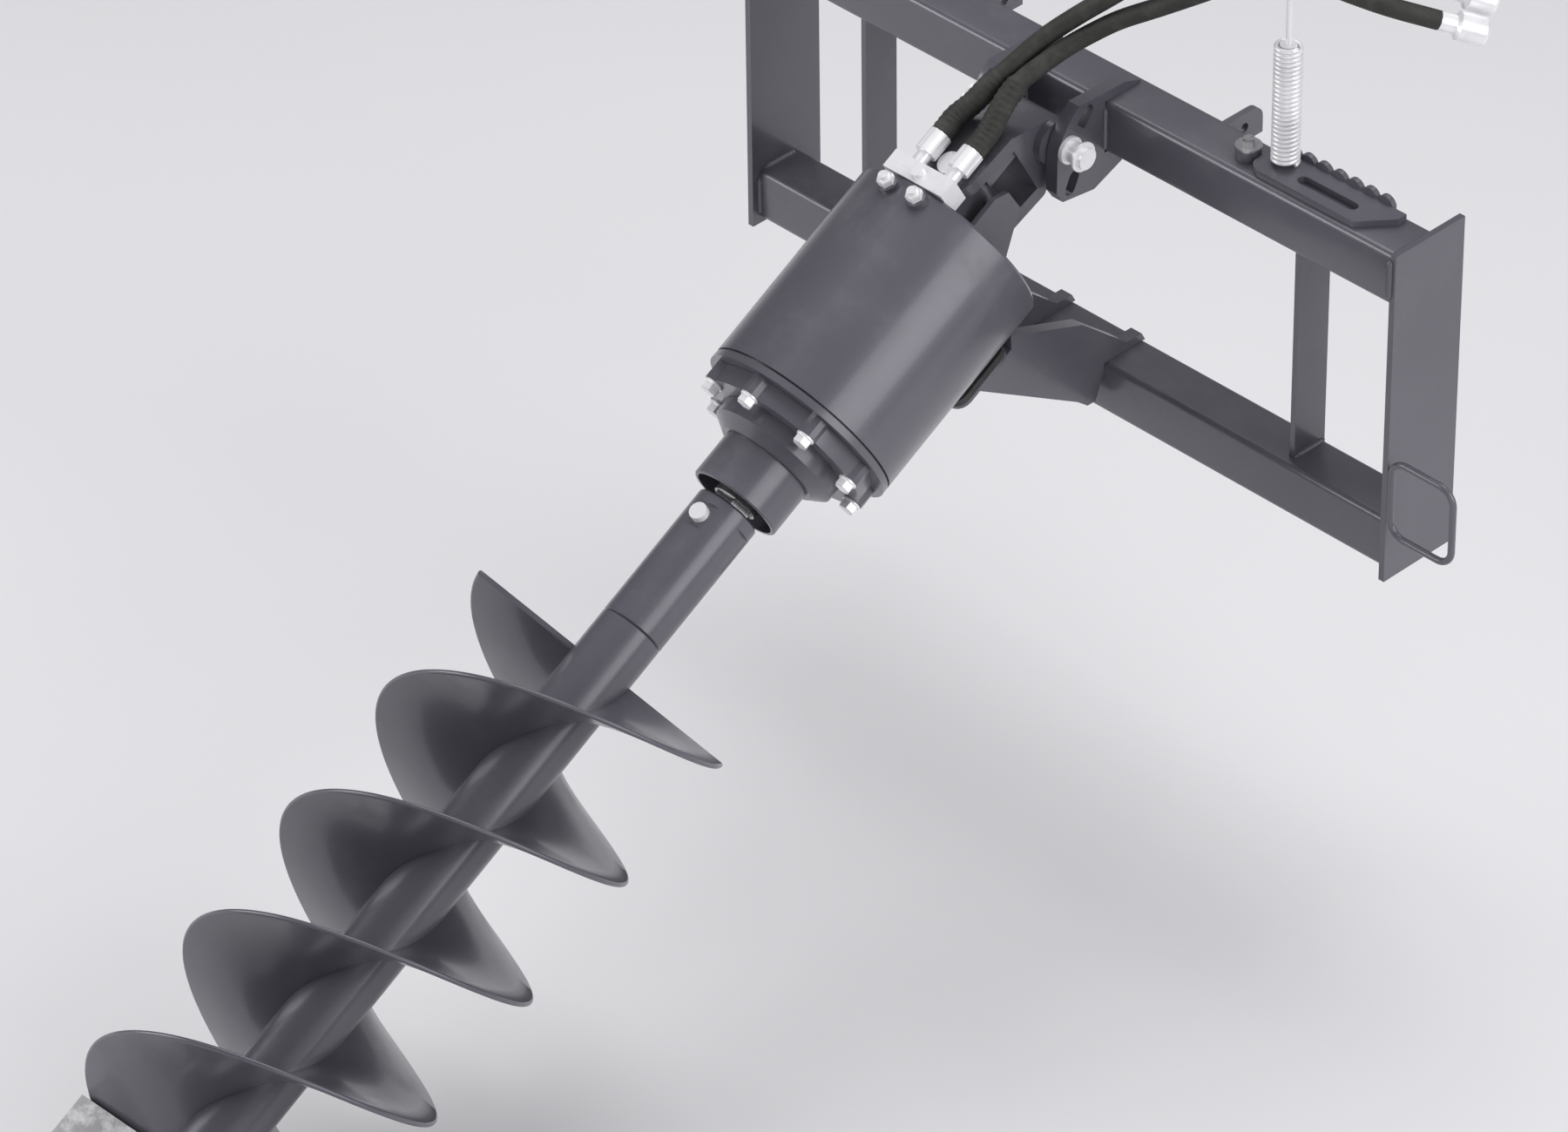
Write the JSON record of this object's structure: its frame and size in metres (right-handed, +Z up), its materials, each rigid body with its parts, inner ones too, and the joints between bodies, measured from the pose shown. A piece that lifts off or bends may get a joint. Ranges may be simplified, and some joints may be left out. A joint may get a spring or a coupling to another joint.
{
  "type": "earth auger drive",
  "caption": "Hydraulic earth auger drive on a loader frame, with a swinging planetary drive in a saddle and a large spiral bit.",
  "frame": {"origin": "middle of the rear bar's back face, which bears on the loader", "axes": "+X to the right as seen from the front, +Y back to the loader, +Z up"},
  "size_m": [1.2553, 1.8593, 1.3661],
  "materials": {
    "gear_steel": "ground and oiled",
    "grey_paint": "glossy metallic grey",
    "hose_rubber": "matt, wrapped",
    "rubber": "matt",
    "steel": "turned",
    "tooth_steel": "plain forged",
    "zinc": "bright zinc plate"
  },
  "bodies": {
    "frame": {"clamp_bolt": "steel", "clamp_spacer": "grey_paint", "cradle_arm_left": "grey_paint", "cradle_arm_right": "grey_paint", "guide_ring": "grey_paint", "hook_lip": "grey_paint", "hose_coupler_left": "zinc", "hose_coupler_right": "zinc", "hose_left": "hose_rubber", "hose_right": "hose_rubber", "hose_spring": "zinc", "inner_post_left": "grey_paint", "inner_post_right": "grey_paint", "latch_plate": "grey_paint", "lower_crossbar": "grey_paint", "pin_keeper": "zinc", "pivot_ear_left": "grey_paint", "pivot_ear_right": "grey_paint", "rear_bar": "grey_paint", "rear_lug_left": "grey_paint", "rear_lug_right": "grey_paint", "saddle_pad": "rubber", "saddle_plate": "grey_paint", "side_plate_left": "grey_paint", "side_plate_right": "grey_paint", "step_tread": "grey_paint", "swing_pin": "zinc", "upper_crossbar": "grey_paint"},
    "hose_stand": {"hose_rod": "zinc"},
    "knuckle": {"knuckle": "grey_paint"},
    "drive": {"swivel_pin": "zinc", "drive_lug": "grey_paint", "drive_gusset_left": "grey_paint", "drive_gusset_right": "grey_paint", "hood": "grey_paint", "hood_band": "grey_paint", "motor_body": "steel", "manifold_block": "zinc", "hose_fitting_left": "zinc", "hose_fitting_right": "zinc", "ring_gear": "gear_steel", "gearbox_cover": "gear_steel", "output_housing": "grey_paint", "output_flange": "grey_paint", "shaft_bearing": "gear_steel", "shaft_guard": "grey_paint", "shaft_seal": "rubber"},
    "output": {"carrier_shaft": "gear_steel", "hub": "grey_paint", "hub_pin": "zinc", "auger_tube": "grey_paint", "flight_a": "grey_paint", "flight_b": "grey_paint", "tooth_plate_a": "tooth_steel", "tooth_plate_b": "tooth_steel", "pilot_point": "tooth_steel"},
    "sun": {"sun_gear": "gear_steel"},
    "planet_1": {"planet_gear_1": "gear_steel"},
    "planet_2": {"planet_gear_2": "gear_steel"},
    "planet_3": {"planet_gear_3": "gear_steel"}
  },
  "joints": [
    {"name": "swing", "type": "hinge", "parent": "frame", "child": "knuckle", "pos_m": [0, -0.194, 0.4292], "axis": [1, 0, 0], "range_deg": [-70, 0], "deforming": ["hose_left", "hose_right"]},
    {"name": "swivel", "type": "hinge", "parent": "knuckle", "child": "drive", "pos_m": [0, -0.29249, 0.3738], "axis": [0, 0.4903, -0.8716], "range_deg": [-12, 12]},
    {"name": "output_spin", "type": "hinge", "parent": "drive", "child": "output", "pos_m": [0, -0.80091, 0.05382], "axis": [0, -0.8716, -0.4903], "continuous": true},
    {"name": "sun_spin", "type": "hinge", "parent": "drive", "child": "sun", "pos_m": [0, -0.53944, 0.20091], "axis": [0, -0.8716, -0.4903], "continuous": true},
    {"name": "planet_1_spin", "type": "hinge", "parent": "output", "child": "planet_1", "pos_m": [0.054, -0.53944, 0.20091], "axis": [0, -0.8716, -0.4903], "continuous": true},
    {"name": "planet_2_spin", "type": "hinge", "parent": "output", "child": "planet_2", "pos_m": [-0.027, -0.51651, 0.16015], "axis": [0, -0.8716, -0.4903], "continuous": true},
    {"name": "planet_3_spin", "type": "hinge", "parent": "output", "child": "planet_3", "pos_m": [-0.027, -0.56237, 0.24167], "axis": [0, -0.8716, -0.4903], "continuous": true},
    {"name": "hose_stand_bend", "type": "hinge", "parent": "frame", "child": "hose_stand", "pos_m": [0.343, -0.08, 0.5672], "axis": [0, 1, 0], "range_deg": [-25, 25], "stiffness_Nm_per_rad": 12, "deforming": ["hose_spring"]}
  ],
  "couplings": [
    {"joint": "sun_spin", "follows": "output_spin", "ratio": 6},
    {"joint": "planet_1_spin", "follows": "output_spin", "ratio": -2.5},
    {"joint": "planet_2_spin", "follows": "output_spin", "ratio": -2.5},
    {"joint": "planet_3_spin", "follows": "output_spin", "ratio": -2.5}
  ]
}
